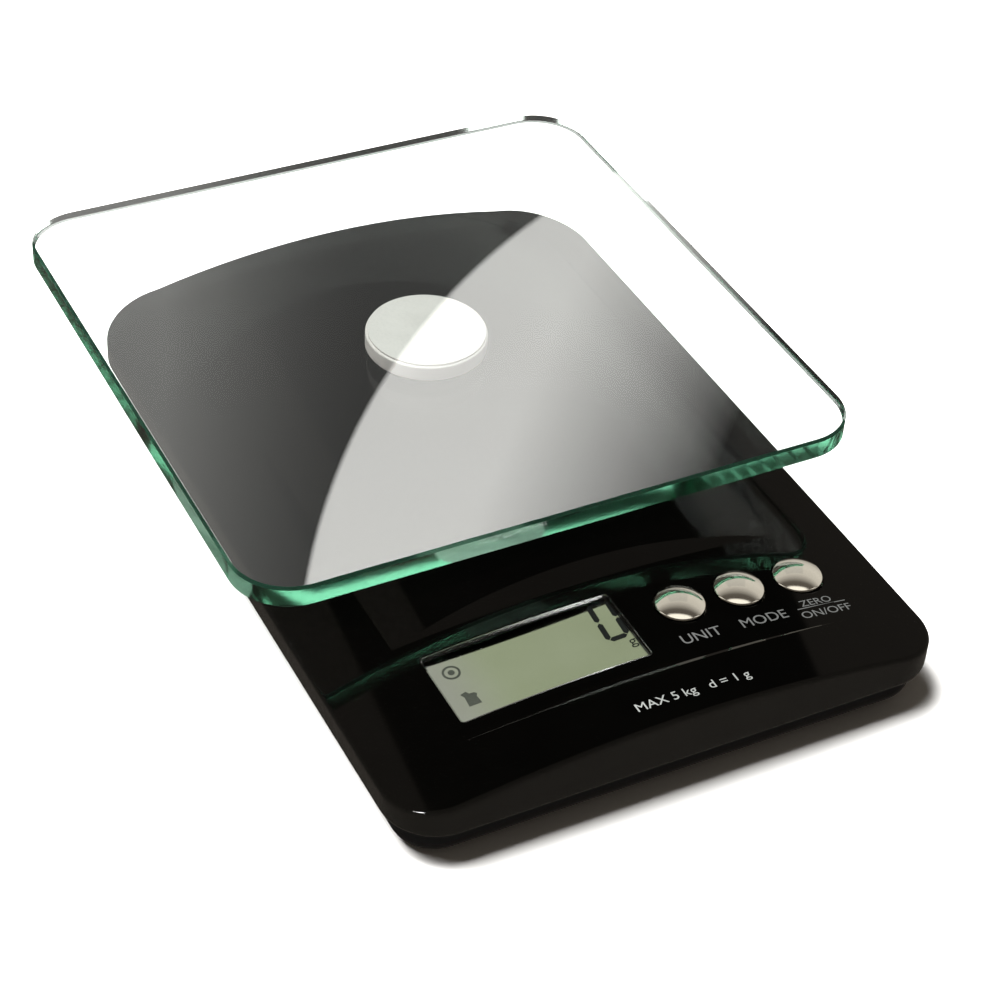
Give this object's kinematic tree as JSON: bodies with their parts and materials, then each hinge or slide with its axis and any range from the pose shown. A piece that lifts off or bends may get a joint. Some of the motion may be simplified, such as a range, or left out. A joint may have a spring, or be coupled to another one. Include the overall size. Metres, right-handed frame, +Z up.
{
  "type": "kitchen scale",
  "caption": "Kitchen scale: square glass platform on a central load cell, crowned black housing, tilted display and domed push buttons.",
  "frame": {"origin": "on the table, under the middle of the whole outline", "axes": "+Z up, +Y away from the user towards the glass, +X to the user's right"},
  "size_m": [0.15, 0.2028, 0.0356],
  "materials": {
    "clear_glass": "polished float glass with a green edge",
    "gloss_black": "high gloss",
    "satin_black": "satin, fine texture",
    "black_abs": "satin",
    "white_plastic": "satin",
    "natural_plastic": "matte",
    "satin_chrome": "plated, slightly satin",
    "clear_lens": "polished clear plastic",
    "lcd": "reflective display glass",
    "rubber_black": "matte",
    "silicone_white": "soft sheen",
    "aluminium": "brushed, machined",
    "zinc_steel": "zinc plated",
    "spring_steel": "nickel plated",
    "board_green": "solder mask",
    "epoxy_black": "poured epoxy",
    "component": "moulded",
    "foam_tape": "translucent tape",
    "cell_wrap": "printed steel can",
    "wire_grey": "insulation",
    "wire_red": "insulation",
    "wire_black": "insulation"
  },
  "bodies": {
    "base": {"battery_1": "cell_wrap", "battery_2": "cell_wrap", "battery_lead_black": "wire_black", "battery_lead_red": "wire_red", "battery_springs": "spring_steel", "battery_terminals": "spring_steel", "board_components": "component", "board_screws": "zinc_steel", "bottom_shell": "satin_black", "chip_blob": "epoxy_black", "cover_screws": "zinc_steel", "display_window": "clear_lens", "foot_back_left": "rubber_black", "foot_back_right": "rubber_black", "foot_front_left": "rubber_black", "foot_front_right": "rubber_black", "lcd_glass": "lcd", "lcd_holder": "natural_plastic", "lcd_pins": "spring_steel", "load_cell": "aluminium", "load_cell_cable": "wire_grey", "load_cell_screws": "zinc_steel", "load_cell_spacer": "zinc_steel", "main_board": "board_green", "strain_gauge_covers": "silicone_white", "tact_switch_mode": "component", "tact_switch_unit": "component", "tact_switch_zero": "component", "top_cover": "gloss_black"},
    "platform": {"glass_plate": "clear_glass", "glass_adhesive": "foam_tape", "platform_puck": "white_plastic", "platform_hub": "black_abs", "hub_screws": "zinc_steel"},
    "button_unit": {"button_cap_unit": "satin_chrome", "switch_plunger_unit": "component"},
    "button_mode": {"button_cap_mode": "satin_chrome", "switch_plunger_mode": "component"},
    "button_zero": {"button_cap_zero": "satin_chrome", "switch_plunger_zero": "component"},
    "battery_door": {"battery_door": "satin_black", "battery_door_latch": "satin_black"}
  },
  "joints": [
    {"name": "platform_press", "type": "slide", "parent": "base", "child": "platform", "axis": [0, 0, 1], "range_m": [-0.0006, 0], "stiffness_N_per_m": 20000, "springref_m": 0.0002, "deforming": ["load_cell"]},
    {"name": "button_unit_press", "type": "slide", "parent": "base", "child": "button_unit", "axis": [0, 0, 1], "range_m": [-0.0006, 0], "stiffness_N_per_m": 400, "springref_m": 0.0005},
    {"name": "button_mode_press", "type": "slide", "parent": "base", "child": "button_mode", "axis": [0, 0, 1], "range_m": [-0.0006, 0], "stiffness_N_per_m": 400, "springref_m": 0.0005},
    {"name": "button_zero_press", "type": "slide", "parent": "base", "child": "button_zero", "axis": [0, 0, 1], "range_m": [-0.0006, 0], "stiffness_N_per_m": 400, "springref_m": 0.0005},
    {"name": "battery_door_hinge", "type": "hinge", "parent": "base", "child": "battery_door", "pos_m": [0.034, -0.0187, 0.0012], "axis": [-1, 0, 0], "range_deg": [0, 80], "deforming": ["battery_door_latch"]}
  ]
}
